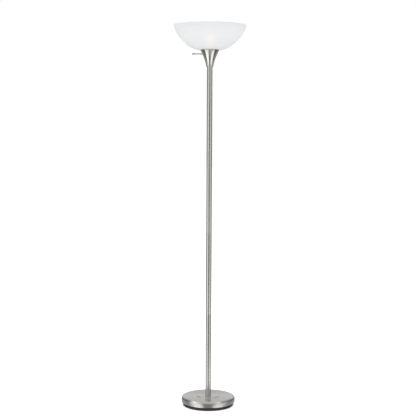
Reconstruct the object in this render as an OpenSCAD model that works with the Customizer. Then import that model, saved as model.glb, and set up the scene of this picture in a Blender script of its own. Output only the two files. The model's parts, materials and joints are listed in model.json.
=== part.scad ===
// Torchiere floor lamp: a weighted round base, a screwed-together steel pole,
// a spun trumpet cup and an open frosted glass bowl over one screw-cap bulb.
// The origin is on the floor under the pole, +Z is up and -Y is the front.
// The rotary switch stem leaves the cup along -X.

/* [Overall] */
// Height from the floor to the rim of the glass bowl
total_h = 1814; // [1650:2:1900]

/* [Base] */
// Diameter of the steel base cover
base_d = 256; // [230:2:300]
// Height of the cover's outer top above the floor
base_h = 45.5; // [42:0.5:50]
// Radius of the rounded shoulder between the cover's top and its skirt
shoulder_r = 12; // [4:0.5:14]
// Height of the skirt's lower edge above the floor
skirt_z = 17; // [14:0.5:18]
// Sheet thickness of the cover
cover_t = 1; // [0.8:0.1:1.2]
// Diameter of the raised disc in the middle of the cover
step_d = 110; // [90:2:130]
// Height of the raised disc
step_h = 2; // [2:0.5:4]
// How far the black weight stands back from the skirt
weight_inset = 7; // [5:0.5:10]
// Thickness of the felt ring under the base
pad_t = 2; // [1.5:0.5:2]

/* [Pole] */
// Outer diameter of the pole
pole_d = 26; // [25:0.2:28]
// Wall thickness of the pole
pole_wall = 1.2; // [1:0.1:1.5]
// Length of the threaded inserts in the pole's ends
insert_l = 22; // [18:1:30]

/* [Cup] */
// Height of the trumpet cup
cup_h = 80; // [79:0.5:84]
// Diameter of the cup where it stands on the pole
cup_foot_d = 31.6; // [31:0.2:34]
// Diameter of the cup's rim under the glass
cup_rim_d = 88.8; // [88:0.4:96]
// Sharpness of the flare: 1 is a cone, more is more of a trumpet
flare_power = 1.42; // [1.3:0.02:1.6]
// Wall thickness of the cup
cup_wall = 1.1; // [0.9:0.1:1.2]

/* [Glass bowl] */
// Diameter over the rim
bowl_d = 343; // [320:1:360]
// Depth from the rim to the flat bottom
bowl_depth = 115.5; // [112:0.5:120]
// Radius of the outside sphere that the bowl is part of
bowl_sphere_r = 180; // [178:1:190]
// Radius that blends the sphere into the flat bottom
bowl_blend_r = 60; // [40:2:64]
// Glass thickness
glass_t = 4; // [3.5:0.5:4.5]
// Diameter of the hole for the socket
bowl_hole_d = 42; // [41:0.5:44]

/* [Switch] */
// Distance from the pole's axis to the knob's end
knob_reach = 83; // [72:1:90]
// Diameter of the knob
knob_d = 6.6; // [6.2:0.2:9]
// Length of the knob
knob_l = 14.5; // [12:0.5:18]
// Diameter of the stem
stem_d = 4.4; // [4:0.1:4.4]

/* [Bulb] */
// Largest diameter of the bulb
bulb_d = 60; // [56:1:66]
// Length of the bulb with its screw cap
bulb_l = 110; // [104:1:114]

/* [Hidden] */
$fn = 96;
eps = 1;              // how far a cut runs past the face it opens
slip = 0.05;          // radial clearance of a screwed or pressed pair
pole_count = 4;

// base
base_r = base_d / 2;
plateau_z = base_h + step_h;
step_r = step_d / 2;
step_round = 1.2;                          // rounding of the raised disc's edge
step_hollow = step_h - step_round;         // hollow at the raised disc's foot
weight_r = base_r - weight_inset;
weight_edge = 1.5;                         // chamfer of the weight's lower edge
ledge_r = base_r - cover_t - 0.3;
ledge_t = 3;
boss_r = 32;
pad_inner_r = 40;
pad_outer_r = weight_r - 4;
nut_recess_r = 16;
nut_recess_z = 26;                         // ceiling of the recess under the base
channel_z = pad_t + 5.5;                   // axis of the cord channel
channel_r = 4.2;                           // half the width of the channel
spot_depth = 0.5;                          // flat cut in the rim for the bushing
bushing_flange_r = 5.3;
bushing_flange_t = 2;
bushing_l = 12;
cord_bore_r = 3.2;
bushing_face_y = weight_r - spot_depth + bushing_flange_t;

// threaded tube that holds the base and the cup
nipple_r = 5;
nipple_bore_r = 3.5;
nipple_hole_r = nipple_r + 0.3;
stud_z = 15;
stud_top_z = 66;
washer_t = 2;
washer_r = 14;
spring_washer_t = 1.6;
spring_washer_r = 8.5;
nut_h = 6;
nut_flats = 14;

// pole
foot_washer_t = 1;
foot_washer_inset = 0.2;
pole_z = plateau_z + foot_washer_t;
cup_rim_z = total_h - bowl_depth - 1;      // the lower gasket is 1 mm thick
cup_z = cup_rim_z - cup_h;
section_l = (cup_z - pole_z) / pole_count;
pole_r = pole_d / 2;
pole_bore_r = pole_r - pole_wall;
tube_edge = 0.4;                           // chamfer of each tube end
insert_r = pole_bore_r - slip;
joint_thread_r = 8;
joint_thread_l = 16;
lead_r = 2;
lead_bend_r = stud_z - channel_z;

// cup
cup_foot_r = cup_foot_d / 2;
cup_rim_r = cup_rim_d / 2;
cup_seat_w = 5;                            // width of the seat turned in at the rim
cup_seat_t = 1.1;
cup_floor_t = 1.2;

// glass
gasket_t = 1;
bowl_z = total_h - bowl_depth;
bowl_r = bowl_d / 2;
rim_mid_r = bowl_r - glass_t / 2;
rim_mid_z = total_h - glass_t / 2;
sphere_mid_r = bowl_sphere_r - glass_t / 2;
sphere_z = rim_mid_z + sqrt(sphere_mid_r * sphere_mid_r - rim_mid_r * rim_mid_r);
blend_z = bowl_z + bowl_blend_r;
blend_gap = bowl_sphere_r - bowl_blend_r;
blend_mid_r = sqrt(blend_gap * blend_gap - (sphere_z - blend_z) * (sphere_z - blend_z));
blend_angle = atan2(blend_z - sphere_z, blend_mid_r);
rim_angle = atan2(rim_mid_z - sphere_z, rim_mid_r);
bowl_hole_r = bowl_hole_d / 2;

// socket, counted down from the glass
ring_z = bowl_z + glass_t + gasket_t;
ring_flange_r = 28.5;
ring_flange_t = 2.5;
ring_hub_r = 23;
ring_h = 6.5;
skirt_top_z = bowl_z + 13;
skirt_thread_r = 19.7;
skirt_body_r = 17.5;
skirt_neck_z = bowl_z - 10;                // where the threaded length starts
skirt_ledge_z = bowl_z - 11.8;             // step that carries the liner
skirt_bore_r = 16.3;
skirt_low_bore_r = 15.4;
socket_joint_z = bowl_z - 32;              // where cap and skirt meet
socket_cap_z = bowl_z - 50;
socket_hub_h = 6;
socket_hub_r = 8.5;
socket_wall = 1.2;
core_r = 15.1;
core_top_z = bowl_z - 13;
liner_r = 16.1;
liner_bore_r = 14.9;
shell_top_z = bowl_z + 11;
thread_pitch = 3.63;                       // 7 threads to the inch
shell_mean_r = 13.75;
shell_wave = 0.4;
shell_t = 0.5;
contact_z = bowl_z - 10;                   // top of the spring contact

// switch
switch_z = bowl_z - 20;
stem_r = stem_d / 2;
rotor_r = 4;
rotor_x = -11;
rotor_l = 13;
rotor_gap = 0.6;
stem_bore_r = stem_r + 0.06;               // running fit in the bushing
stem_hole_r = stem_r + 0.6;
stem_grip = 5;                             // how far the stem goes into the rotor
stem_end_x = -knob_reach + 4;
bushing_r = 4.2;
bushing_lip_r = 4.6;

// bulb, counted up from its contact
bulb_z = contact_z + 0.4;
bulb_r = bulb_d / 2;
bulb_mid_z = bulb_z + bulb_l - bulb_r;
bulb_neck_r = 13.5;
bulb_hollow_r = 60;                        // hollow between the neck and the ball
bulb_wall = 0.8;
bulb_stem_r = 12;
bulb_stem_z = bulb_z + 15.5;
cap_mean_r = 12.5;
cap_wave = 0.4;
cap_bore_r = bulb_stem_r + slip;
cap_z = bulb_z + 2.6;
cap_top_z = bulb_z + 23.5;

// ---- shared shapes ----

// points of an arc about [x, y] from angle a0 to a1
function arc(x, y, r, a0, a1, n = 12) =
    [for (i = [0 : n]) let (a = a0 + (a1 - a0) * i / n) [x + r * cos(a), y + r * sin(a)]];

function reversed(list) = [for (i = [len(list) - 1 : -1 : 0]) list[i]];

module ring(outer_r, inner_r, z, h) {
    translate([0, 0, z])
        difference() {
            cylinder(r = outer_r, h = h);
            translate([0, 0, -eps]) cylinder(r = inner_r, h = h + 2 * eps);
        }
}

module hex_nut(z) {
    translate([0, 0, z])
        difference() {
            cylinder(d = nut_flats / cos(30), h = nut_h, $fn = 6);
            translate([0, 0, -eps]) cylinder(r = nipple_r + slip, h = nut_h + 2 * eps);
        }
}

// washer with the cut and the raised end of a spring washer
module spring_washer(z) {
    cut_w = 1.2;
    difference() {
        ring(spring_washer_r, nipple_r + 0.15, z, spring_washer_t);
        translate([nipple_r - eps, -cut_w / 2, z - eps])
            cube([spring_washer_r, cut_w, spring_washer_t + 2 * eps]);
    }
}

module nipple(z, top_z) ring(nipple_r, nipple_bore_r, z, top_z - z);

// cylinder along X from x0 to x1 on the switch's axis
module on_switch_axis(r, x0, x1) {
    translate([x0, 0, switch_z]) rotate([0, 90, 0]) cylinder(r = r, h = x1 - x0);
}

// ---- base ----

module floor_pad() color("#26272a") ring(pad_outer_r, pad_inner_r, 0, pad_t);

// cast weight with a nut recess and a cord channel in its underside
module base_weight() {
    spot_w = 2 * bushing_flange_r + 3;
    color("#1d1e20")
    difference() {
        rotate_extrude()
            polygon([
                [nipple_hole_r, pad_t],
                [weight_r - weight_edge, pad_t],
                [weight_r, pad_t + weight_edge],
                [weight_r, skirt_z],
                [ledge_r, skirt_z],
                [ledge_r, skirt_z + ledge_t],
                [boss_r, skirt_z + ledge_t],
                [boss_r, plateau_z - cover_t],
                [nipple_hole_r, plateau_z - cover_t],
            ]);
        translate([0, 0, pad_t - eps]) cylinder(r = nut_recess_r, h = nut_recess_z - pad_t + eps);
        translate([-channel_r, 0, pad_t - eps])
            cube([2 * channel_r, base_r, channel_z + channel_r - pad_t + eps]);
        translate([-spot_w / 2, weight_r - spot_depth, pad_t - eps])
            cube([spot_w, base_r, skirt_z - pad_t + eps]);
    }
}

// half outline of the cover, inset by t from its outside
function cover_line(t) = concat(
    [[nipple_hole_r, plateau_z - t]],
    arc(step_r - step_round, plateau_z - step_round, max(step_round - t, 0.1), 90, 0, 8),
    arc(step_r + step_hollow, base_h + step_hollow, step_hollow + t, 180, 270, 8),
    arc(base_r - shoulder_r, base_h - shoulder_r, shoulder_r - t, 90, 0, 16),
    [[base_r - t, skirt_z]]
);

module base_cover() {
    color("#b9b8b3")
    rotate_extrude() polygon(concat(cover_line(0), reversed(cover_line(cover_t))));
}

module cord_bushing() {
    color("#141414")
    translate([0, bushing_face_y, channel_z]) rotate([90, 0, 0])
        difference() {
            union() {
                cylinder(r = bushing_flange_r, h = bushing_flange_t);
                cylinder(r = channel_r - slip, h = bushing_l);
            }
            translate([0, 0, -eps]) cylinder(r = cord_bore_r, h = bushing_l + 2 * eps);
        }
}

module base_stud() color("#a8a18e") nipple(stud_z, stud_top_z);

module base_washer()
    color("#9c9c98") ring(washer_r, nipple_hole_r, nut_recess_z - washer_t, washer_t);

module base_spring_washer()
    color("#8d8d8a") spring_washer(nut_recess_z - washer_t - spring_washer_t);

module base_nut()
    color("#a8a18e") hex_nut(nut_recess_z - washer_t - spring_washer_t - nut_h);

module foot_washer()
    color("#8f8f8b") ring(pole_r - foot_washer_inset, nipple_hole_r, plateau_z, foot_washer_t);

// ---- pole ----

module pole_section(index) {
    color("#bdbbb4")
    translate([0, 0, pole_z + (index - 1) * section_l])
        rotate_extrude()
            polygon([
                [pole_bore_r, 0],
                [pole_r - tube_edge, 0],
                [pole_r, tube_edge],
                [pole_r, section_l - tube_edge],
                [pole_r - tube_edge, section_l],
                [pole_bore_r, section_l],
            ]);
}

module pole_foot_insert() color("#8f8f8b") ring(insert_r, nipple_r + slip, pole_z, insert_l);

// female insert in the top of the lower tube at joint number index
module pole_socket(index) {
    joint_z = pole_z + index * section_l;
    color("#8f8f8b") ring(insert_r, joint_thread_r + slip, joint_z - insert_l, insert_l);
}

// male insert in the bottom of the upper tube at joint number index
module pole_screw(index) {
    joint_z = pole_z + index * section_l;
    color("#a8a18e") {
        difference() {
            union() {
                translate([0, 0, joint_z]) cylinder(r = insert_r, h = insert_l);
                translate([0, 0, joint_z - joint_thread_l])
                    cylinder(r = joint_thread_r, h = joint_thread_l + eps);
            }
            translate([0, 0, joint_z - joint_thread_l - eps])
                cylinder(r = nipple_bore_r, h = joint_thread_l + insert_l + 2 * eps);
        }
    }
}

module pole_top_insert()
    color("#8f8f8b") ring(insert_r, nipple_r + slip, cup_z - insert_l, insert_l);

// two-core lead from the base's channel, up the pole and out to the terminals
module inner_lead() {
    channel_end_y = bushing_face_y - bushing_l - 1;
    tail_r = 1.1;
    tail_l = 9.6;
    tail_lean = 52;
    top_z = socket_cap_z + 9;
    color("#2a2a2a") {
        translate([0, 0, stud_z]) cylinder(r = lead_r, h = top_z - stud_z);
        translate([0, lead_bend_r, stud_z]) rotate([-90, 0, -90])
            rotate_extrude(angle = 90) translate([lead_bend_r, 0]) circle(r = lead_r);
        translate([0, lead_bend_r, channel_z]) rotate([-90, 0, 0])
            cylinder(r = lead_r, h = channel_end_y - lead_bend_r);
        for (side = [-1, 1])
            translate([0, 0, top_z - 1]) rotate([side * tail_lean, 0, 0])
                cylinder(r = tail_r, h = tail_l);
    }
}

// ---- cup ----

function cup_r(t) = cup_foot_r + (cup_rim_r - cup_foot_r) * pow(t, flare_power);

// outside of the cup's wall from the foot to the rim, moved inwards by inset
function cup_line(inset, t0, t1, n = 22) =
    [for (i = [0 : n]) let (t = t0 + (t1 - t0) * i / n) [cup_r(t) - inset, cup_z + cup_h * t]];

module trumpet_cup() {
    seat_t = 1 - cup_seat_t / cup_h;
    floor_t = cup_floor_t / cup_h;
    color("#b3b2ad")
    difference() {
        rotate_extrude()
            polygon(concat(
                [[nipple_hole_r, cup_z]],
                cup_line(0, 0, 1),
                [[cup_rim_r - cup_seat_w, cup_rim_z], [cup_rim_r - cup_seat_w, cup_rim_z - cup_seat_t]],
                reversed(cup_line(cup_wall, floor_t, seat_t)),
                [[nipple_hole_r, cup_z + cup_floor_t]]
            ));
        on_switch_axis(bushing_r + slip, -cup_rim_r, -cup_foot_r);
    }
}

module cup_nipple() color("#a8a18e") nipple(cup_z - insert_l + 3, socket_cap_z + socket_hub_h);

module cup_washer()
    color("#9c9c98") ring(cup_foot_r - 3.5, nipple_hole_r, cup_z + cup_floor_t, washer_t);

module cup_spring_washer()
    color("#8d8d8a") spring_washer(cup_z + cup_floor_t + washer_t);

module cup_nut()
    color("#a8a18e") hex_nut(cup_z + cup_floor_t + washer_t + spring_washer_t);

// ---- glass ----

module lower_gasket()
    color("#c9c8c4") ring(cup_rim_r + 0.8, cup_rim_r - cup_seat_w, cup_rim_z, gasket_t);

// half outline of the bowl's wall, moved inwards by t
function bowl_line(t) = concat(
    [[bowl_hole_r, bowl_z + t]],
    arc(blend_mid_r, blend_z, bowl_blend_r - t, -90, blend_angle, 10),
    arc(0, sphere_z, bowl_sphere_r - t, blend_angle, rim_angle, 24)
);

module glass_bowl() {
    color([0.96, 0.96, 0.95, 0.8])
    rotate_extrude()
        polygon(concat(
            bowl_line(0),
            arc(rim_mid_r, rim_mid_z, glass_t / 2, rim_angle + 18, rim_angle + 162, 8),
            reversed(bowl_line(glass_t))
        ));
}

module upper_gasket()
    color("#d8d4c8") ring(ring_flange_r - 0.5, bowl_hole_r + 0.2, bowl_z + glass_t, gasket_t);

module shade_ring() {
    notch_count = 12;
    notch_r = 2;
    color("#e9e8e4")
    difference() {
        union() {
            translate([0, 0, ring_z]) cylinder(r = ring_flange_r, h = ring_flange_t);
            translate([0, 0, ring_z]) cylinder(r = ring_hub_r, h = ring_h);
        }
        translate([0, 0, ring_z - eps])
            cylinder(r = skirt_thread_r + 2 * slip, h = ring_h + 2 * eps);
        for (i = [0 : notch_count - 1])
            rotate([0, 0, i * 360 / notch_count])
                translate([ring_flange_r, 0, ring_z - eps])
                    cylinder(r = notch_r, h = ring_flange_t + 2 * eps, $fn = 24);
    }
}

// ---- socket ----

module socket_cap() {
    floor_z = socket_cap_z + socket_hub_h;
    color("#c8a45c")
    rotate_extrude()
        polygon([
            [nipple_r + slip, socket_cap_z],
            [socket_hub_r, socket_cap_z],
            [socket_hub_r, floor_z],
            [skirt_body_r - 1, floor_z + 3],
            [skirt_body_r, floor_z + 5],
            [skirt_body_r, socket_joint_z],
            [skirt_body_r - socket_wall, socket_joint_z],
            [skirt_body_r - socket_wall, floor_z + 5],
            [skirt_body_r - 3, floor_z + 4],
            [socket_hub_r - 1, floor_z + socket_wall],
            [nipple_r + slip, floor_z + socket_wall],
        ]);
}

// outer half of the socket: a plain collar below, an outside thread above
module socket_skirt() {
    ridge_pitch = 2.5;
    ridge_depth = 0.6;
    ridge_count = floor((skirt_top_z - skirt_neck_z - 2) / ridge_pitch);
    ridges = [for (i = [0 : ridge_count - 1]) let (z = skirt_neck_z + 1.5 + i * ridge_pitch)
        each [[skirt_thread_r - ridge_depth, z],
              [skirt_thread_r, z + 0.8],
              [skirt_thread_r, z + 1.2],
              [skirt_thread_r - ridge_depth, z + 2]]];
    color("#efece4")
    difference() {
        rotate_extrude()
            polygon(concat(
                [[skirt_low_bore_r, socket_joint_z],
                 [skirt_body_r, socket_joint_z],
                 [skirt_body_r, skirt_neck_z - 1],
                 [skirt_thread_r - ridge_depth, skirt_neck_z]],
                ridges,
                [[skirt_thread_r - ridge_depth, skirt_top_z - 0.5],
                 [skirt_thread_r - 1.2, skirt_top_z],
                 [skirt_bore_r, skirt_top_z],
                 [skirt_bore_r, skirt_ledge_z],
                 [skirt_low_bore_r, skirt_ledge_z]]
            ));
        on_switch_axis(stem_hole_r, -skirt_body_r - eps, -skirt_low_bore_r + eps);
    }
}

// moulded block that carries the screw shell and houses the switch
module socket_core() {
    rim_r = 11;
    rim_h = skirt_ledge_z - core_top_z;
    screw_hole_r = 1.65;
    color("#f2f0ea")
    difference() {
        union() {
            translate([0, 0, socket_joint_z]) cylinder(r = core_r, h = core_top_z - socket_joint_z);
            ring(core_r, rim_r, core_top_z, rim_h);
        }
        on_switch_axis(rotor_r + rotor_gap, -core_r - eps, rotor_x + rotor_l + 1);
        for (side = [-1, 1])
            translate([0, side * 9.5, socket_joint_z - eps])
                cylinder(r = screw_hole_r, h = 6.5 + eps, $fn = 24);
    }
}

module socket_liner()
    color("#d9c9a2") ring(liner_r, liner_bore_r, skirt_ledge_z, shell_top_z - skirt_ledge_z);

// rolled thread: a wave of the shell's radius along its height
function thread_line(mean_r, wave, z0, z1, n) =
    [for (i = [0 : n]) let (z = z0 + (z1 - z0) * i / n)
        [mean_r + wave * sin(360 * (z - z0) / thread_pitch), z]];

module screw_shell() {
    z0 = skirt_ledge_z + shell_t;
    steps = 36;
    color("#c9a55a")
    rotate_extrude()
        polygon(concat(
            [[11.2, skirt_ledge_z], [shell_mean_r + shell_t, skirt_ledge_z]],
            thread_line(shell_mean_r + shell_t, shell_wave, z0, shell_top_z, steps),
            reversed(thread_line(shell_mean_r, shell_wave, z0, shell_top_z, steps)),
            [[11.2, z0]]
        ));
}

module centre_contact() {
    strip_w = 5;
    strip_t = 0.6;
    color("#c9a55a")
    translate([0, -strip_w / 2, 0]) {
        translate([3, 0, core_top_z]) cube([7, strip_w, strip_t]);
        translate([3, 0, core_top_z]) cube([strip_t, strip_w, contact_z - core_top_z]);
        translate([-3, 0, contact_z - strip_t]) cube([6 + strip_t, strip_w, strip_t]);
    }
}

module terminal_screws() {
    head_r = 3;
    head_h = 2;
    color("#c9a55a")
    for (side = [-1, 1])
        translate([0, side * 9.5, socket_joint_z - head_h])
            difference() {
                union() {
                    cylinder(r = head_r, h = head_h, $fn = 32);
                    cylinder(r = 1.6, h = head_h + 6, $fn = 24);
                }
                translate([-head_r - eps, -0.4, -eps]) cube([2 * head_r + 2 * eps, 0.8, eps + 0.7]);
            }
}

// ---- switch ----

module switch_rotor() {
    color("#4a3a30")
    difference() {
        on_switch_axis(rotor_r, rotor_x, rotor_x + rotor_l);
        for (side = [-1, 1])
            translate([rotor_x + rotor_l / 2, -rotor_r - eps, switch_z + side * rotor_r - 0.8])
                cube([rotor_l, 2 * rotor_r + 2 * eps, 1.6]);
        on_switch_axis(stem_r + slip, rotor_x - eps, rotor_x + stem_grip);
    }
}

module switch_stem()
    color("#b0afa9") on_switch_axis(stem_r, stem_end_x + 0.2, rotor_x + stem_grip - 0.2);

module switch_knob() {
    flute_count = 12;
    flute_r = 0.5;
    color("#a9a7a0")
    difference() {
        union() {
            on_switch_axis(knob_d / 2, -knob_reach + 1, -knob_reach + knob_l);
            on_switch_axis(knob_d / 2 - 0.8, -knob_reach, -knob_reach + 1);
        }
        on_switch_axis(stem_r + slip, stem_end_x, -knob_reach + knob_l + eps);
        for (i = [0 : flute_count - 1])
            translate([0, 0, switch_z]) rotate([i * 360 / flute_count, 0, 0])
                translate([-knob_reach + 2, 0, knob_d / 2]) rotate([0, 90, 0])
                    cylinder(r = flute_r, h = knob_l - 4, $fn = 16);
    }
}

module switch_bushing() {
    wall_x = cup_r((switch_z - cup_z) / cup_h);
    color("#8f8f8b")
    difference() {
        union() {
            on_switch_axis(bushing_r, -wall_x - 3.4, -wall_x + 5);
            on_switch_axis(bushing_lip_r, -wall_x - 3.4, -wall_x - 2);
        }
        on_switch_axis(stem_bore_r, -wall_x - 3.4 - eps, -wall_x + 5 + eps);
    }
}

// ---- bulb ----

// half outline of the glass above the neck, moved inwards by t
function bulb_line(t) =
    let (drop = sqrt(pow(bulb_r + bulb_hollow_r, 2) - pow(bulb_neck_r + bulb_hollow_r, 2)),
         turn = atan2(drop, bulb_neck_r + bulb_hollow_r))
    concat(
        arc(bulb_neck_r + bulb_hollow_r, bulb_mid_z - drop, bulb_hollow_r + t, 180, 180 - turn, 12),
        arc(0, bulb_mid_z, bulb_r - t, -turn, 90, 24)
    );

module bulb_glass() {
    color([0.97, 0.96, 0.92, 0.9])
    rotate_extrude()
        polygon(concat(
            [[bulb_stem_r - bulb_wall, bulb_stem_z], [bulb_stem_r, bulb_stem_z],
             [bulb_stem_r, cap_top_z + 0.5]],
            bulb_line(0),
            reversed(bulb_line(bulb_wall)),
            [[bulb_stem_r - bulb_wall, cap_top_z + 0.8]]
        ));
}

module bulb_cap() {
    z0 = cap_z + 1.5;
    z1 = cap_top_z - 2.5;
    color("#c7c6c1")
    rotate_extrude()
        polygon(concat(
            [[10.6, cap_z], [11.2, cap_z]],
            thread_line(cap_mean_r, cap_wave, z0, z1, 30),
            [[cap_mean_r + cap_wave, z1 + 1], [cap_mean_r + cap_wave, cap_top_z],
             [cap_bore_r, cap_top_z], [cap_bore_r, z0 + 0.6], [10.6, cap_z + 0.6]]
        ));
}

module bulb_insulator() {
    color("#1a1a1c")
    translate([0, 0, bulb_z + 1]) {
        cylinder(r1 = 5.5, r2 = 10.2, h = 1.6);
        translate([0, 0, 1.6]) cylinder(r = 10.2, h = 1.4);
    }
}

module bulb_contact() color("#b7b4aa") translate([0, 0, bulb_z]) cylinder(r = 4.4, h = 1);

// glass flare and post that carry the filament
module bulb_mount() {
    color("#dfe3e4") {
        translate([0, 0, bulb_stem_z]) cylinder(r1 = 10.8, r2 = 3, h = 12);
        translate([0, 0, bulb_stem_z + 12]) cylinder(r = 3, h = 22);
        translate([0, 0, bulb_stem_z + 34]) cylinder(r = 1.2, h = 14);
    }
}

module bulb_filament() {
    wire_r = 0.5;
    coil_r = 1;
    top_z = bulb_stem_z + 46;
    spread = 14;
    lean = 28;
    wire_l = 25;
    color("#8a8a86") {
        for (side = [-1, 1])
            translate([side * 3.8, 0, top_z - wire_l * cos(lean)])
                rotate([0, side * lean, 0]) cylinder(r = wire_r, h = wire_l, $fn = 16);
        for (side = [0, 1])
            mirror([side, 0, 0])
                translate([1.6, 0, top_z]) rotate([0, 90, 0]) cylinder(r = coil_r, h = spread - 1);
    }
}

floor_pad();
base_weight();
base_cover();
cord_bushing();
base_stud();
base_washer();
base_spring_washer();
base_nut();
foot_washer();
pole_section(1);  // pole_section_1
pole_section(2);  // pole_section_2
pole_section(3);  // pole_section_3
pole_section(4);  // pole_section_4
pole_foot_insert();
pole_socket(1);  // pole_socket_1
pole_socket(2);  // pole_socket_2
pole_socket(3);  // pole_socket_3
pole_screw(1);  // pole_screw_1
pole_screw(2);  // pole_screw_2
pole_screw(3);  // pole_screw_3
pole_top_insert();
inner_lead();
cup_nipple();
trumpet_cup();
cup_washer();
cup_spring_washer();
cup_nut();
lower_gasket();
glass_bowl();
upper_gasket();
shade_ring();
socket_cap();
socket_skirt();
socket_core();
socket_liner();
screw_shell();
centre_contact();
terminal_screws();
switch_rotor();
switch_stem();
switch_knob();
switch_bushing();
bulb_glass();
bulb_cap();
bulb_insulator();
bulb_contact();
bulb_mount();
bulb_filament();
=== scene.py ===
# Torchiere floor lamp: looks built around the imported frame.
import json
from math import asin, atan2, cos, pi, radians, sin, sqrt, tan

import bpy
from mathutils import Matrix, Vector


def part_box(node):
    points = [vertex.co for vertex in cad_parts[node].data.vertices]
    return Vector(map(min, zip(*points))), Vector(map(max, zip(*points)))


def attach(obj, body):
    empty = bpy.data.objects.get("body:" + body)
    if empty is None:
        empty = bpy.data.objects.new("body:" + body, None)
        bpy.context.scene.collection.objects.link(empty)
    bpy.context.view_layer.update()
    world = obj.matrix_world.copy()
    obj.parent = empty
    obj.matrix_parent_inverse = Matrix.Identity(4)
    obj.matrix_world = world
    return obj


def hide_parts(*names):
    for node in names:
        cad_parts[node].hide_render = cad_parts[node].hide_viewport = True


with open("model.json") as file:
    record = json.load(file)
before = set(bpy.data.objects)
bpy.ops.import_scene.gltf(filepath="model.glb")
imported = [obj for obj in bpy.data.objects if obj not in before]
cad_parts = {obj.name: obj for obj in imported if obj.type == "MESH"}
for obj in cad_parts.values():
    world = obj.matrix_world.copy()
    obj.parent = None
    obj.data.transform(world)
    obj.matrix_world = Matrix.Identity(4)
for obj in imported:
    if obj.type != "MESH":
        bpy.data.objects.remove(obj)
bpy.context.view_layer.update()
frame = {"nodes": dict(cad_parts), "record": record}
nodes = frame["nodes"]
mm = 0.001
print("frame loaded:", len(nodes), "nodes")


class Wire:
    # a node's output that can stand in a Python expression
    def __init__(self, graph, socket):
        self.graph = graph
        self.socket = socket

    def math(self, operation, *values):
        return self.graph.node("ShaderNodeMath", {"operation": operation}, dict(enumerate(values)))

    def __add__(self, other):
        return self.math("ADD", self, other)

    def __radd__(self, other):
        return self.math("ADD", other, self)

    def __sub__(self, other):
        return self.math("SUBTRACT", self, other)

    def __rsub__(self, other):
        return self.math("SUBTRACT", other, self)

    def __mul__(self, other):
        return self.math("MULTIPLY", self, other)

    def __rmul__(self, other):
        return self.math("MULTIPLY", other, self)

    def __truediv__(self, other):
        return self.math("DIVIDE", self, other)

    def __neg__(self):
        return self.math("MULTIPLY", self, -1)

    def __pow__(self, other):
        return self.math("POWER", self, other)


class Graph:
    # the nodes of one material, or of the world
    def __init__(self, tree):
        self.tree = tree
        self.tree.nodes.clear()

    def put(self, socket, value):
        if isinstance(value, Wire):
            self.tree.links.new(value.socket, socket)
        elif isinstance(value, (tuple, list)) and len(value) == 3 and socket.type == "RGBA":
            socket.default_value = (*value, 1)
        else:
            socket.default_value = value

    def node(self, kind, settings=None, values=None, output=0):
        made = self.tree.nodes.new(kind)
        for key, value in (settings or {}).items():
            if key == "stops":
                ramp = made.color_ramp
                while len(ramp.elements) < len(value):
                    ramp.elements.new(0.5)
                for stop, (place, colour) in zip(ramp.elements, value):
                    stop.position = place
                    stop.color = (*colour, 1)
            else:
                setattr(made, key, value)
        for key, value in (values or {}).items():
            self.put(made.inputs[key], value)
        return Wire(self, made.outputs[output])

    def split(self, vector):
        made = self.tree.nodes.new("ShaderNodeSeparateXYZ")
        self.put(made.inputs[0], vector)
        return [Wire(self, made.outputs[i]) for i in range(3)]

    def join(self, x, y, z):
        return self.node("ShaderNodeCombineXYZ", {}, {0: x, 1: y, 2: z})

    def noise(self, vector, scale, detail=2.0, roughness=0.5):
        return self.node("ShaderNodeTexNoise", {"noise_dimensions": "3D"},
                         {"Vector": vector, "Scale": scale, "Detail": detail, "Roughness": roughness})

    def step(self, value, low, high, toLow=0.0, toHigh=1.0):
        return self.node("ShaderNodeMapRange", {"interpolation_type": "SMOOTHSTEP"},
                         {0: value, 1: low, 2: high, 3: toLow, 4: toHigh})

    def blend(self, factor, first, second):
        return self.node("ShaderNodeMix", {"data_type": "RGBA"}, {0: factor, 6: first, 7: second}, output=2)

    def bump(self, height, strength, distance):
        return self.node("ShaderNodeBump", {}, {"Height": height, "Strength": strength, "Distance": distance})


class Finish(Graph):
    # one material with a Principled shader
    def __init__(self, name, **sockets):
        self.material = bpy.data.materials.new(name)
        self.material.use_nodes = True
        super().__init__(self.material.node_tree)
        self.shader = self.tree.nodes.new("ShaderNodeBsdfPrincipled")
        out = self.tree.nodes.new("ShaderNodeOutputMaterial")
        self.tree.links.new(self.shader.outputs[0], out.inputs[0])
        self.place = self.node("ShaderNodeTexCoord", {}, {}, output="Object")
        self.set(**sockets)

    def set(self, **sockets):
        for key, value in sockets.items():
            self.put(self.shader.inputs[key.replace("_", " ")], value)


steelLook = {"light": (0.65, 0.64, 0.615), "dark": (0.60, 0.59, 0.565), "grain": 900.0, "smear": 9.0,
             "around": 1.5, "rough": 0.26, "roughSpread": 0.06, "smearSpread": 0.06,
             "bump": 0.02, "bumpHeight": 0.2 * mm, "stretch": 0.8, "stretchTurn": 0.25}


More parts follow.
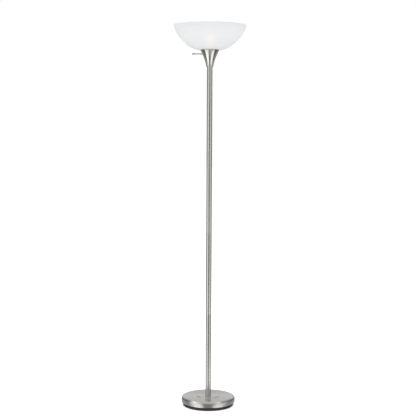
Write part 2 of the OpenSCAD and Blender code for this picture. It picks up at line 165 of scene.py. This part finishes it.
def turnedSteel(name, look, centreHeight=None):
    # satin steel whose grain runs around the piece; with a centre height, around the X axis
    steel = Finish(name, Metallic=1.0)
    x, y, z = steel.split(steel.place)
    if centreHeight is None:
        # reflections smear across the grain
        steel.set(Anisotropic=look["stretch"], Anisotropic_Rotation=look["stretchTurn"])
        radius = (x * x + y * y) ** 0.5
        angle = x.math("ARCTAN2", y, x)
        along = z
    else:
        up = z - centreHeight
        radius = (y * y + up * up) ** 0.5
        angle = y.math("ARCTAN2", up, y)
        along = x
    grain = steel.join(radius * look["grain"], angle * look["around"], along * look["grain"])
    lines = steel.noise(grain, 1.0, 3.0)
    smears = steel.noise(steel.place, look["smear"], 3.0)
    rough = look["rough"] + (lines - 0.5) * look["roughSpread"] + (smears - 0.5) * look["smearSpread"]
    steel.set(Base_Color=steel.blend(lines * 0.5 + smears * 0.5, look["dark"], look["light"]),
              Roughness=rough, Normal=steel.bump(lines, look["bump"], look["bumpHeight"]))
    return steel.material


ironLook = {"dark": (0.008, 0.008, 0.009), "light": (0.022, 0.022, 0.024), "pits": 420.0, "wear": 30.0,
            "rough": 0.42, "roughSpread": 0.2, "bump": 0.25, "bumpHeight": 0.4 * mm}


def blackCasting(name):
    iron = Finish(name, Metallic=0.0, IOR=1.5)
    pits = iron.noise(iron.place, ironLook["pits"], 3.0)
    wear = iron.noise(iron.place, ironLook["wear"], 4.0)
    iron.set(Base_Color=iron.blend(wear, ironLook["dark"], ironLook["light"]),
             Roughness=ironLook["rough"] + pits * ironLook["roughSpread"],
             Normal=iron.bump(pits, ironLook["bump"], ironLook["bumpHeight"]))
    return iron.material


feltLook = {"dark": (0.012, 0.012, 0.013), "light": (0.05, 0.05, 0.054), "fibres": 1400.0,
            "sheen": 0.4, "sheenRough": 0.5, "rough": 0.85, "roughSpread": 0.1,
            "bump": 0.8, "bumpHeight": 0.6 * mm}


def felt(name):
    wool = Finish(name, Metallic=0.0, Sheen_Weight=feltLook["sheen"], Sheen_Roughness=feltLook["sheenRough"])
    fibres = wool.noise(wool.place, feltLook["fibres"], 4.0, 0.7)
    wool.set(Base_Color=wool.blend(fibres, feltLook["dark"], feltLook["light"]),
             Roughness=feltLook["rough"] + fibres * feltLook["roughSpread"],
             Normal=wool.bump(fibres, feltLook["bump"], feltLook["bumpHeight"]))
    return wool.material


plasticLook = {"skin": 700.0, "flow": 25.0, "roughSpread": 0.12, "bump": 0.12, "bumpHeight": 0.2 * mm}


def mouldedPlastic(name, dark, light, rough):
    plastic = Finish(name, Metallic=0.0, IOR=1.48)
    skin = plastic.noise(plastic.place, plasticLook["skin"])
    flow = plastic.noise(plastic.place, plasticLook["flow"])
    plastic.set(Base_Color=plastic.blend(flow, dark, light),
                Roughness=rough + (skin - 0.5) * plasticLook["roughSpread"],
                Normal=plastic.bump(skin, plasticLook["bump"], plasticLook["bumpHeight"]))
    return plastic.material


metalLook = {"stain": 60.0, "scratch": 900.0, "roughSpread": 0.16, "bump": 0.1, "bumpHeight": 0.2 * mm}


def rawMetal(name, dark, light, rough):
    metal = Finish(name, Metallic=1.0)
    stain = metal.noise(metal.place, metalLook["stain"], 4.0)
    scratch = metal.noise(metal.place, metalLook["scratch"])
    metal.set(Base_Color=metal.blend(stain, dark, light),
              Roughness=rough + (scratch - 0.5) * metalLook["roughSpread"],
              Normal=metal.bump(scratch, metalLook["bump"], metalLook["bumpHeight"]))
    return metal.material


# the grey below and where it starts paint shade into the bowl's colour near its flat bottom
glassLook = {"body": (0.87, 0.877, 0.872), "cool": (0.845, 0.855, 0.878), "shadedGrey": (0.74, 0.745, 0.75),
             "shadeBelow": -20 * mm, "paleAbove": 85 * mm, "cloud": 7.0, "etch": 520.0, "transmission": 0.30,
             "rough": 0.42, "roughSpread": 0.12, "bump": 0.08, "bumpHeight": 0.2 * mm}


def frostedGlass(name):
    # the glass is painted greyer towards its flat bottom: painted shade on the bowl's underside
    glass = Finish(name, Metallic=0.0, IOR=1.12, Transmission_Weight=glassLook["transmission"])
    etch = glass.noise(glass.place, glassLook["etch"], 3.0)
    cloud = glass.noise(glass.place, glassLook["cloud"])
    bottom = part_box("glass_bowl")[0][2]
    height = glass.split(glass.place)[2]
    # painted shade: the colour turns from the body's tone to a grey towards the bottom
    unshaded = glass.step(height, bottom + glassLook["shadeBelow"], bottom + glassLook["paleAbove"])
    pale = glass.blend(cloud, glassLook["body"], glassLook["cool"])
    glass.set(Base_Color=glass.blend(unshaded, glassLook["shadedGrey"], pale),
              Roughness=glassLook["rough"] + etch * glassLook["roughSpread"],
              Normal=glass.bump(etch, glassLook["bump"], glassLook["bumpHeight"]))
    return glass.material


frostLook = {"white": (0.66, 0.64, 0.60), "neck": (1.0, 0.76, 0.62), "crown": (0.09, 0.08, 0.07),
             "glow": 2.2, "fade": (0.45, 0.78), "etch": 300.0, "rough": 0.4, "roughSpread": 0.1}


def bulbFrost(name):
    # lit from inside: bright from the neck to the filament, dimmer at the crown
    frost = Finish(name, Metallic=0.0, Emission_Strength=frostLook["glow"])
    low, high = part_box("bulb_glass")
    height = (frost.split(frost.place)[2] - low[2]) / (high[2] - low[2])
    fade = frost.step(height, *frostLook["fade"])
    etch = frost.noise(frost.place, frostLook["etch"])
    frost.set(Base_Color=frostLook["white"],
              Emission_Color=frost.blend(fade, frostLook["neck"], frostLook["crown"]),
              Roughness=frostLook["rough"] + etch * frostLook["roughSpread"])
    return frost.material


clearLook = {"green": (0.85, 0.89, 0.88), "clear": (0.95, 0.97, 0.97), "seeds": 90.0, "transmission": 0.9,
             "rough": 0.02, "roughSpread": 0.04}


def clearGlass(name):
    clear = Finish(name, Metallic=0.0, IOR=1.45, Transmission_Weight=clearLook["transmission"])
    seeds = clear.noise(clear.place, clearLook["seeds"])
    clear.set(Base_Color=clear.blend(seeds, clearLook["green"], clearLook["clear"]),
              Roughness=clearLook["rough"] + seeds * clearLook["roughSpread"])
    return clear.material


switchCentre = (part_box("switch_knob")[0][2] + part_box("switch_knob")[1][2]) / 2
poleLook = {**steelLook, "grain": 500.0, "bump": 0.01, "rough": 0.21}
cupLook = {**steelLook, "rough": 0.20}
knobLook = {**steelLook, "light": (0.42, 0.415, 0.40), "dark": (0.33, 0.325, 0.31), "rough": 0.26}
finishes = {
    "brushed_steel": turnedSteel("coverSteel", steelLook),
    "pole_steel": turnedSteel("poleSteel", poleLook),
    "cup_steel": turnedSteel("cupSteel", cupLook),
    "knob_steel": turnedSteel("knobSteel", knobLook, switchCentre),
    "black_iron": blackCasting("blackCasting"),
    "black_felt": felt("padFelt"),
    "black_rubber": mouldedPlastic("softRubber", (0.012, 0.012, 0.013), (0.03, 0.03, 0.032), 0.6),
    "lead_vinyl": mouldedPlastic("leadVinyl", (0.02, 0.02, 0.02), (0.04, 0.04, 0.04), 0.45),
    "zinc_steel": rawMetal("zincPlate", (0.50, 0.49, 0.45), (0.66, 0.65, 0.60), 0.38),
    "frosted_glass": frostedGlass("frostedGlass"),
    "gasket_clear": mouldedPlastic("gasketPlastic", (0.42, 0.42, 0.40), (0.52, 0.52, 0.50), 0.45),
    "fibre": mouldedPlastic("pressedFibre", (0.42, 0.34, 0.22), (0.60, 0.51, 0.37), 0.7),
    "white_plastic": mouldedPlastic("socketPlastic", (0.74, 0.73, 0.68), (0.84, 0.83, 0.79), 0.35),
    "brown_plastic": mouldedPlastic("rotorPlastic", (0.07, 0.04, 0.03), (0.13, 0.08, 0.05), 0.4),
    "brass": rawMetal("plainBrass", (0.50, 0.36, 0.14), (0.72, 0.55, 0.27), 0.3),
    "bulb_frost": bulbFrost("bulbFrost"),
    "bulb_metal": rawMetal("capAluminium", (0.70, 0.70, 0.68), (0.82, 0.82, 0.80), 0.3),
    "black_glass": mouldedPlastic("insulatingGlass", (0.006, 0.006, 0.008), (0.012, 0.012, 0.014), 0.12),
    "clear_glass": clearGlass("clearGlass"),
    "tungsten": rawMetal("drawnWire", (0.20, 0.20, 0.21), (0.34, 0.34, 0.35), 0.4),
}
nodeSlot = {row["node"]: row["material_slot"] for row in frame["record"]["subparts"]}
for name, item in nodes.items():
    item.data.materials.clear()
    item.data.materials.append(finishes[nodeSlot[name]])
print("finishes made:", len(finishes))


joinWithin = 0.002 * mm         # vertices closer than this are one


def arc(x, y, radius, start, stop, count):
    # points of an arc, with its angles in degrees
    return [(x + radius * cos(radians(start + (stop - start) * i / count)),
             y + radius * sin(radians(start + (stop - start) * i / count))) for i in range(count + 1)]


def softened(corners, count=5):
    # rounds each corner (radius, height, rounding) of a closed outline
    points = []
    for i, (x, y, rounding) in enumerate(corners):
        if rounding == 0:
            points.append((x, y))
            continue
        here = Vector((x, y))
        back = (Vector(corners[i - 1][:2]) - here).normalized()
        ahead = (Vector(corners[(i + 1) % len(corners)][:2]) - here).normalized()
        half = back.angle(ahead) / 2
        middle = here + (back + ahead).normalized() * rounding / sin(half)
        first = here + back * rounding / tan(half) - middle
        last = here + ahead * rounding / tan(half) - middle
        sweep = first.angle(last)
        for k in range(count + 1):
            t = k / count
            turned = (first * sin((1 - t) * sweep) + last * sin(t * sweep)) / sin(sweep)
            points.append(tuple(middle + turned))
    return points


def lathe(name, outline, steps=128, closed=True, axis="Z", centre=(0, 0, 0), smoothTo=30):
    # turns an outline of (radius, distance along the axis) into a round piece
    turn = {"X": (1, 0, 0), "Y": (0, 1, 0), "Z": (0, 0, 1)}[axis]

    def spot(point):
        radius, along = point
        if axis == "Z":
            return Vector((centre[0] + radius, centre[1], along))
        if axis == "X":
            return Vector((along, centre[1], centre[2] + radius))
        return Vector((centre[0], along, centre[2] + radius))

    bpy.ops.object.select_all(action="DESELECT")
    bpy.ops.mesh.primitive_plane_add(size=mm, location=spot(outline[0]))
    bpy.ops.object.transform_apply(location=True, rotation=True, scale=True)
    piece = bpy.context.object
    piece.name = piece.data.name = name
    bpy.ops.object.mode_set(mode="EDIT")
    bpy.ops.mesh.select_all(action="SELECT")
    bpy.ops.mesh.merge(type="CENTER")
    route = outline[1:] + outline[:1] if closed else outline[1:]
    at = spot(outline[0])
    for point in route:
        bpy.ops.mesh.extrude_vertices_move(TRANSFORM_OT_translate={"value": spot(point) - at})
        at = spot(point)
    bpy.ops.mesh.select_all(action="SELECT")
    bpy.ops.mesh.remove_doubles(threshold=joinWithin)
    bpy.ops.mesh.spin(steps=steps, angle=2 * pi, center=centre, axis=turn)
    bpy.ops.mesh.select_all(action="SELECT")
    bpy.ops.mesh.remove_doubles(threshold=joinWithin)
    bpy.ops.mesh.normals_make_consistent(inside=False)
    bpy.ops.object.mode_set(mode="OBJECT")
    bpy.ops.object.shade_smooth_by_angle(angle=radians(smoothTo))
    return piece


def stand(piece, body, node):
    # puts the piece in a node's place, on its body and in its finish
    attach(piece, body)
    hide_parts(node)
    piece.data.materials.clear()
    piece.data.materials.append(finishes[nodeSlot[node]])


def pickVertices(piece, test):
    # selects the vertices that pass the test, in vertex mode
    bpy.ops.object.select_all(action="DESELECT")
    piece.select_set(True)
    bpy.context.view_layer.objects.active = piece
    bpy.ops.object.mode_set(mode="EDIT")
    bpy.ops.mesh.select_mode(type="VERT")
    bpy.ops.mesh.select_all(action="DESELECT")
    bpy.ops.object.mode_set(mode="OBJECT")
    for vertex in piece.data.vertices:
        vertex.select = test(vertex.co)
    bpy.ops.object.mode_set(mode="EDIT")


nippleHole = 5.3 * mm           # radius of the hole that the threaded tube passes through

coverShape = {"sheet": 1.0 * mm, "shoulder": 12 * mm, "discRadius": 55 * mm, "discHeight": 2 * mm,
              "discRound": 0.95 * mm, "discInside": 0.2 * mm, "lip": 0.4 * mm, "steps": 192}


def makeCover():
    low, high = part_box("base_cover")
    radius, top, bottom = high[0], high[2], low[2]
    shelf = top - coverShape["discHeight"]
    sheet, shoulder = coverShape["sheet"], coverShape["shoulder"]
    disc, turn = coverShape["discRadius"], coverShape["discRound"]
    corners = [
        (nippleHole, top, 0), (disc, top, turn), (disc, shelf, turn), (radius, shelf, shoulder),
        (radius, bottom, coverShape["lip"]), (radius - sheet, bottom, coverShape["lip"]),
        (radius - sheet, shelf - sheet, shoulder - sheet), (disc - sheet, shelf - sheet, turn),
        (disc - sheet, top - sheet, coverShape["discInside"]), (nippleHole, top - sheet, 0),
    ]
    stand(lathe("baseCover", softened(corners, 8), coverShape["steps"]), "lamp", "base_cover")


makeCover()

bushingShape = {"bore": 3.2 * mm, "flange": 5.3 * mm, "flangeDepth": 2 * mm, "body": 4.1 * mm,
                "edge": 0.6 * mm, "backEdge": 0.2 * mm, "steps": 48}


def makeCordBushing():
    low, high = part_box("cord_bushing")
    height = (low[2] + high[2]) / 2
    face = high[1]
    corners = [
        (bushingShape["bore"], low[1], 0), (bushingShape["body"], low[1], 0),
        (bushingShape["body"], face - bushingShape["flangeDepth"], 0),
        (bushingShape["flange"], face - bushingShape["flangeDepth"], bushingShape["backEdge"]),
        (bushingShape["flange"], face, bushingShape["edge"]),
        (bushingShape["bore"], face, bushingShape["edge"]),
    ]
    piece = lathe("cordBushing", softened(corners), bushingShape["steps"], axis="Y", centre=(0, 0, height))
    stand(piece, "lamp", "cord_bushing")


makeCordBushing()
print("base made")


tubeShape = {"wall": 1.2 * mm, "edge": 0.45 * mm, "steps": 96}


def makeTube(number):
    node = "pole_section_%d" % number
    low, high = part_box(node)
    outer = high[0]
    inner = outer - tubeShape["wall"]
    edge = tubeShape["edge"]
    corners = [(inner, low[2], 0), (outer, low[2], edge), (outer, high[2], edge), (inner, high[2], 0)]
    stand(lathe("poleTube%d" % number, softened(corners), tubeShape["steps"]), "lamp", node)


for number in range(1, 5):
    makeTube(number)
print("pole made")


cupShape = {"foot": 15.8 * mm, "flare": 1.42, "wall": 1.1 * mm, "seat": 5 * mm, "seatDepth": 1.1 * mm,
            "floor": 1.2 * mm, "footRound": 0.8 * mm, "rimRound": 0.7 * mm, "wallStart": 0.02,
            "points": 28, "steps": 192}


def makeCup():
    low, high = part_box("trumpet_cup")
    foot, rim = cupShape["foot"], high[0]
    height = high[2] - low[2]

    def wall(inset, start, stop):
        line = []
        for i in range(cupShape["points"] + 1):
            t = start + (stop - start) * i / cupShape["points"]
            line.append((foot + (rim - foot) * t ** cupShape["flare"] - inset, low[2] + height * t))
        return line

    seatStart = 1 - cupShape["seatDepth"] / height
    seat = rim - cupShape["seat"]
    footRound, rimRound = cupShape["footRound"], cupShape["rimRound"]
    outline = [(nippleHole, low[2])] + arc(foot - footRound, low[2] + footRound, footRound, -90, 0, 4)
    outline += wall(0, cupShape["wallStart"], seatStart)
    outline += arc(rim - rimRound, high[2] - rimRound, rimRound, 0, 90, 4)
    outline += [(seat, high[2]), (seat, high[2] - cupShape["seatDepth"])]
    outline += wall(cupShape["wall"], cupShape["floor"] / height, seatStart)[::-1]
    outline += [(nippleHole, low[2] + cupShape["floor"])]
    stand(lathe("trumpetCup", outline, cupShape["steps"]), "lamp", "trumpet_cup")


makeCup()

gasketShape = {"edge": 0.3 * mm, "lowerInner": 40.2 * mm, "upperInner": 21.2 * mm, "steps": 128}


def makeGasket(name, node, inner):
    low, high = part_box(node)
    edge = gasketShape["edge"]
    outer = high[0]
    corners = [(inner, low[2], edge), (outer, low[2], edge), (outer, high[2], edge), (inner, high[2], edge)]
    stand(lathe(name, softened(corners), gasketShape["steps"]), "lamp", node)


makeGasket("lowerGasket", "lower_gasket", gasketShape["lowerInner"])
makeGasket("upperGasket", "upper_gasket", gasketShape["upperInner"])
print("cup made")


bowlShape = {"sphere": 180 * mm, "blend": 60 * mm, "wall": 4 * mm, "hole": 21 * mm, "steps": 256}


def makeBowl():
    low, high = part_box("glass_bowl")
    wall, sphere, blend = bowlShape["wall"], bowlShape["sphere"], bowlShape["blend"]
    rimRadius = high[0] - wall / 2
    rimHeight = high[2] - wall / 2
    centre = rimHeight + sqrt((sphere - wall / 2) ** 2 - rimRadius ** 2)
    blendHeight = low[2] + blend
    blendRadius = sqrt((sphere - blend) ** 2 - (centre - blendHeight) ** 2)
    meet = atan2(blendHeight - centre, blendRadius) * 180 / pi
    rimAngle = -asin((centre - rimHeight) / (sphere - wall / 2)) * 180 / pi
    outer = arc(blendRadius, blendHeight, blend, -90, meet, 16)
    outer += arc(0, centre, sphere, meet, rimAngle, 40)[1:]
    inner = arc(blendRadius, blendHeight, blend - wall, -90, meet, 16)
    inner += arc(0, centre, sphere - wall, meet, rimAngle, 40)[1:]
    rim = arc(rimRadius, rimHeight, wall / 2, rimAngle, rimAngle + 180, 12)[1:-1]
    hole = bowlShape["hole"]
    outline = [(hole, low[2])] + outer + rim + inner[::-1] + [(hole, low[2] + wall)]
    stand(lathe("bowlGlass", outline, bowlShape["steps"]), "lamp", "glass_bowl")


makeBowl()
print("bowl made")


ringShape = {"flangeDepth": 2.5 * mm, "hub": 23 * mm, "bore": 19.8 * mm, "edge": 0.5 * mm,
             "grips": 12, "gripSteps": 12, "gripDepth": 0.94, "gripHalf": 0.17}


def makeShadeRing():
    low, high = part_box("shade_ring")
    edge = ringShape["edge"]
    flange = max(high[0], high[1])
    shelf = low[2] + ringShape["flangeDepth"]
    hub, bore = ringShape["hub"], ringShape["bore"]
    corners = [
        (bore, low[2], 0), (flange, low[2], edge), (flange, shelf, edge),
        (hub, shelf, edge), (hub, high[2], edge), (bore, high[2], edge),
    ]
    steps = ringShape["grips"] * ringShape["gripSteps"]
    piece = lathe("shadeRing", softened(corners), steps)
    wedge = 360 / ringShape["grips"]
    half, depth = ringShape["gripHalf"] * wedge, ringShape["gripDepth"]

    def inGrip(co):
        angle = atan2(co.y, co.x) * 180 / pi % wedge
        return co.xy.length > flange - 2 * edge and (angle < half or angle > wedge - half)

    pickVertices(piece, inGrip)
    bpy.ops.transform.resize(value=(depth, depth, 1), center_override=(0, 0, 0))
    bpy.ops.object.mode_set(mode="OBJECT")
    stand(piece, "lamp", "shade_ring")


makeShadeRing()

skirtShape = {"thread": 19.7 * mm, "body": 17.5 * mm, "bore": 16.3 * mm, "lowBore": 15.4 * mm,
              "neck": 22 * mm, "neckSlope": 1 * mm, "ledge": 20.2 * mm, "threadStart": 1.5 * mm,
              "pitch": 2.5 * mm, "ridge": 0.6 * mm, "ridgeHeight": 0.9 * mm, "edge": 0.5 * mm, "steps": 96}


def makeSkirt():
    low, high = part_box("socket_skirt")
    neck = low[2] + skirtShape["neck"]
    ledge = low[2] + skirtShape["ledge"]
    body, bore, lowBore = skirtShape["body"], skirtShape["bore"], skirtShape["lowBore"]
    ridge, edge = skirtShape["ridge"], skirtShape["edge"]
    root = skirtShape["thread"] - ridge
    outline = [(lowBore, low[2]), (body, low[2]), (body, neck - skirtShape["neckSlope"]), (root, neck)]
    height = neck + skirtShape["threadStart"]
    while height + skirtShape["pitch"] < high[2] - edge:
        outline += arc(root, height + skirtShape["ridgeHeight"], ridge, -90, 90, 6)
        height += skirtShape["pitch"]
    outline += [(root, high[2] - ridge), (root - ridge, high[2]), (bore + edge, high[2]),
                (bore, high[2] - edge), (bore, ledge), (lowBore, ledge)]
    stand(lathe("socketSkirt", outline, skirtShape["steps"]), "lamp", "socket_skirt")


makeSkirt()
print("socket made")


knobShape = {"tip": 1.2 * mm, "backEdge": 0.4 * mm, "collar": 0.88, "collarDepth": 2.4 * mm,
             "collarEdge": 0.2 * mm, "bodyBack": 3 * mm, "bodyEdge": 0.3 * mm, "stemCover": 0.9,
             "gripFrom": 1.6 * mm, "gripTo": 3.6 * mm, "gripRun": 0.3 * mm,
             "flutes": 12, "fluteSteps": 6, "fluteDepth": 0.86, "fluteSpan": (0.3, 0.7)}


def makeKnob():
    low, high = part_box("switch_knob")
    radius = (high[1] - low[1]) / 2
    stem = (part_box("switch_stem")[1][1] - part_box("switch_stem")[0][1]) / 2
    collar = radius * knobShape["collar"]
    corners = [
        (0, low[0], 0), (radius, low[0], knobShape["tip"]),
        (radius, high[0] - knobShape["bodyBack"], knobShape["bodyEdge"]),
        (collar, high[0] - knobShape["collarDepth"], knobShape["collarEdge"]),
        (collar, high[0], knobShape["backEdge"]), (stem * knobShape["stemCover"], high[0], 0),
    ]
    outline = softened(corners)
    front, back, run = low[0] + knobShape["gripFrom"], high[0] - knobShape["gripTo"], knobShape["gripRun"]
    bodyEnd = [i for i, point in enumerate(outline) if point[1] > front - run][0]
    outline[bodyEnd:bodyEnd] = [(radius, front), (radius, front + run), (radius, back - run), (radius, back)]
    steps = knobShape["flutes"] * knobShape["fluteSteps"]
    piece = lathe("switchKnob", outline, steps, closed=False, axis="X", centre=(0, 0, switchCentre))
    wedge = 360 / knobShape["flutes"]
    start, stop = (wedge * edge for edge in knobShape["fluteSpan"])

    def inFlute(co):
        angle = atan2(co.z - switchCentre, co.y) * 180 / pi % wedge
        return front + run / 2 < co.x < back - run / 2 and start < angle < stop

    pickVertices(piece, inFlute)
    depth = knobShape["fluteDepth"]
    bpy.ops.transform.resize(value=(1, depth, depth), center_override=(0, 0, switchCentre))
    bpy.ops.object.mode_set(mode="OBJECT")
    stand(piece, "switch", "switch_knob")


makeKnob()

stemShape = {"edge": 0.3 * mm, "steps": 48}


def makeStem():
    low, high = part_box("switch_stem")
    radius = (high[1] - low[1]) / 2
    edge = stemShape["edge"]
    outline = softened([(0, low[0], 0), (radius, low[0], edge), (radius, high[0], edge), (0, high[0], 0)])
    piece = lathe("switchStem", outline, stemShape["steps"], closed=False, axis="X",
                  centre=(0, 0, switchCentre))
    stand(piece, "switch", "switch_stem")


makeStem()

ferruleShape = {"body": 4.2 * mm, "bore": 2.26 * mm, "lip": 4.6 * mm, "lipDepth": 1.4 * mm,
                "edge": 0.4 * mm, "neckEdge": 0.1 * mm, "backEdge": 0.2 * mm, "steps": 64}


def makeBushing():
    low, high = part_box("switch_bushing")
    edge = ferruleShape["edge"]
    lipBack = low[0] + ferruleShape["lipDepth"]
    corners = [
        (ferruleShape["bore"], low[0], edge), (ferruleShape["lip"], low[0], edge),
        (ferruleShape["lip"], lipBack, edge), (ferruleShape["body"], lipBack, ferruleShape["neckEdge"]),
        (ferruleShape["body"], high[0], ferruleShape["backEdge"]), (ferruleShape["bore"], high[0], 0),
    ]
    piece = lathe("switchBushing", softened(corners), ferruleShape["steps"], axis="X",
                  centre=(0, 0, switchCentre))
    stand(piece, "lamp", "switch_bushing")


makeBushing()
print("switch made")


bulbShape = {"neck": 13.5 * mm, "hollow": 60 * mm, "wall": 0.8 * mm, "root": 12 * mm, "collar": 8.4 * mm,
             "steps": 128}


def makeBulb():
    low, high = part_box("bulb_glass")
    radius = high[0]
    middle = high[2] - radius
    reach = bulbShape["neck"] + bulbShape["hollow"]
    drop = sqrt((radius + bulbShape["hollow"]) ** 2 - reach ** 2)
    turn = atan2(drop, reach) * 180 / pi
    neckTop = low[2] + bulbShape["collar"]

    def skin(inset):
        line = arc(reach, middle - drop, bulbShape["hollow"] + inset, 180, 180 - turn, 16)
        return line + arc(0, middle, radius - inset, -turn, 90, 32)[1:]

    root, wall = bulbShape["root"], bulbShape["wall"]
    outline = [(root - wall, low[2]), (root, low[2]), (root, neckTop)] + skin(0)
    outline += skin(wall)[::-1] + [(root - wall, neckTop)]
    stand(lathe("bulbGlass", outline, bulbShape["steps"]), "bulb", "bulb_glass")


makeBulb()
print("bulb made")


floorLook = {"size": 60, "dark": (0.90, 0.90, 0.90), "light": (0.93, 0.93, 0.93), "tint": 3.0,
             "rough": 0.9, "glow": 0.55}


def makeFloor():
    bpy.ops.object.select_all(action="DESELECT")
    bpy.ops.mesh.primitive_plane_add(size=floorLook["size"], location=(0, 0, 0))
    floor = bpy.context.object
    floor.name = "floor"
    paper = Finish("paleFloor", Metallic=0.0, Roughness=floorLook["rough"], Emission_Color=(1, 1, 1),
                   Emission_Strength=floorLook["glow"])
    tint = paper.noise(paper.place, floorLook["tint"])
    paper.set(Base_Color=paper.blend(tint, floorLook["dark"], floorLook["light"]))
    floor.data.materials.append(paper.material)
    floor.visible_glossy = False


makeFloor()

# A pair of soft boxes stands left and right of the lamp at each of five heights. Its edges are where it
# starts, is full, fades and ends across what an upright round piece mirrors. Its levels are how bright the
# left and the right box are, and how dark it is between them and beyond them.
softboxRows = {
    "level": {"edges": (0.20, 0.33, 0.60, 0.72), "levels": (1.18, 0.85, 0.18, 0.17)},
    "low": {"edges": (0.16, 0.27, 0.50, 0.66), "levels": (0.92, 0.84, 0.42, 0.68)},
    "down": {"edges": (0.12, 0.22, 0.48, 0.58), "levels": (1.90, 1.75, 0.10, 0.12)},
    "steep": {"edges": (0.10, 0.22, 0.52, 0.66), "levels": (0.85, 0.35, 0.70, 0.34)},
    "up": {"edges": (0.10, 0.20, 0.46, 0.58), "levels": (1.90, 2.00, 0.32, 0.24)},
}
# Each pair of numbers here is where a zone begins to show and where it is full.
studio = {"backdrop": 1.0, "fill": 0.80, "fillBehind": 0.15, "behind": 0.72,
          "lowFrom": (0.17, 0.27), "downFrom": (0.31, 0.40), "steepFrom": (0.64, 0.74),
          "upFrom": (0.22, 0.34), "upShift": 0.08, "split": (-0.02, 0.02), "middle": (0.33, 0.6),
          "shelf": 0.62, "shelfFrom": (0.08, 0.16), "shelfTo": (0.30, 0.42), "shelfRear": (0.0, 0.25),
          "shelfFront": (-0.65, -0.45), "rearFrom": (0.0, 0.2), "rearSide": (0.42, 0.62),
          "rearAbove": (0.04, 0.14), "zenith": (0.70, 0.86)}


def makeWorld():
    world = bpy.data.worlds.new("studio")
    bpy.context.scene.world = world
    world.use_nodes = True
    sky = Graph(world.node_tree)
    direction = sky.node("ShaderNodeTexCoord", {}, {}, output="Generated")
    x, y, z = sky.split(direction)
    front = 1.0001 - y                             # never zero, so the side has a value straight behind
    side = x / (x * x + front * front) ** 0.5      # -1 to 1 across what an upright round piece mirrors
    right = sky.step(side, *studio["split"])
    middle = 1 - sky.step(side.math("ABSOLUTE", side), *studio["middle"])

    def mixed(first, second, amount):
        return first + amount * (second - first)

    def softboxes(row, shift=0.0):
        start, full, fade, end = softboxRows[row]["edges"]
        left, rightLevel, between, beyond = softboxRows[row]["levels"]
        across = (side + shift).math("ABSOLUTE", side + shift)
        lit = sky.step(across, start, full) * (1 - sky.step(across, fade, end))
        level = mixed(left, rightLevel, right)
        dark = mixed(beyond, between, middle)
        return mixed(dark, level, lit)

    surround = softboxes("level")
    for row in ("low", "down", "steep"):
        surround = mixed(surround, softboxes(row), sky.step(-z, *studio[row + "From"]))
    surround = mixed(surround, softboxes("up", studio["upShift"]), sky.step(z, *studio["upFrom"]))
    # an even grey in front, which the base's top mirrors when seen from behind
    lowShelf = (1 - sky.step(z, *studio["shelfTo"])) * (1 - sky.step(y, *studio["shelfRear"]))
    ahead = 1 - sky.step(y, *studio["shelfFront"])
    shelf = sky.step(z, *studio["shelfFrom"]) * lowShelf.math("MAXIMUM", lowShelf, ahead)
    surround = mixed(surround, studio["shelf"], shelf)
    # and another behind and overhead, which it mirrors when seen from the front
    width = x.math("ABSOLUTE", x)
    rear = sky.step(y, *studio["rearFrom"]) * (1 - sky.step(width, *studio["rearSide"]))
    rear = rear * sky.step(z, *studio["rearAbove"])
    behind = rear.math("MAXIMUM", rear, sky.step(z, *studio["zenith"]))
    seen = mixed(surround, studio["behind"], behind)
    fill = studio["fill"] * (1 - studio["fillBehind"] + studio["fillBehind"] * (-y))
    path = sky.tree.nodes.new("ShaderNodeLightPath")
    camera = Wire(sky, path.outputs["Is Camera Ray"])
    glossy = Wire(sky, path.outputs["Is Glossy Ray"])
    level = glossy * seen + (1 - glossy) * fill
    strength = camera * studio["backdrop"] + (1 - camera) * level
    shade = sky.tree.nodes.new("ShaderNodeBackground")
    sky.put(shade.inputs["Color"], (1.0, 1.0, 1.0))
    sky.put(shade.inputs["Strength"], strength)
    out = sky.tree.nodes.new("ShaderNodeOutputWorld")
    sky.tree.links.new(shade.outputs[0], out.inputs[0])


makeWorld()


overhead = {"place": (0, -0.5, 4.2), "size": 4.0, "power": 60}


def makeOverhead():
    bpy.ops.object.light_add(type="AREA", location=overhead["place"])
    lamp = bpy.context.object
    lamp.name = "overhead"
    lamp.data.shape = "RECTANGLE"
    lamp.data.size = lamp.data.size_y = overhead["size"]
    lamp.data.energy = overhead["power"]
    lamp.visible_glossy = False
    aim = -Vector(overhead["place"])               # towards the origin, at the lamp's foot
    lamp.rotation_euler = aim.to_track_quat("-Z", "Y").to_euler()


makeOverhead()

cameraView = {"distance": 5.0, "height": 1.331, "side": -0.0050, "pitch": 4.34, "roll": 0.28, "focal": 91.2,
              "sensor": 36, "farEnd": 200}


def makeCamera():
    camera = bpy.data.objects.new("camera", bpy.data.cameras.new("camera"))
    bpy.context.scene.collection.objects.link(camera)
    camera.data.lens = cameraView["focal"]
    camera.data.sensor_width = cameraView["sensor"]
    camera.data.clip_end = cameraView["farEnd"]
    place = Matrix.Translation((cameraView["side"], -cameraView["distance"], cameraView["height"]))
    tilt = Matrix.Rotation(radians(90 - cameraView["pitch"]), 4, "X")
    camera.matrix_world = place @ tilt @ Matrix.Rotation(radians(cameraView["roll"]), 4, "Z")
    bpy.context.scene.camera = camera


makeCamera()
bpy.context.scene.view_settings.view_transform = "Standard"
print("studio made")
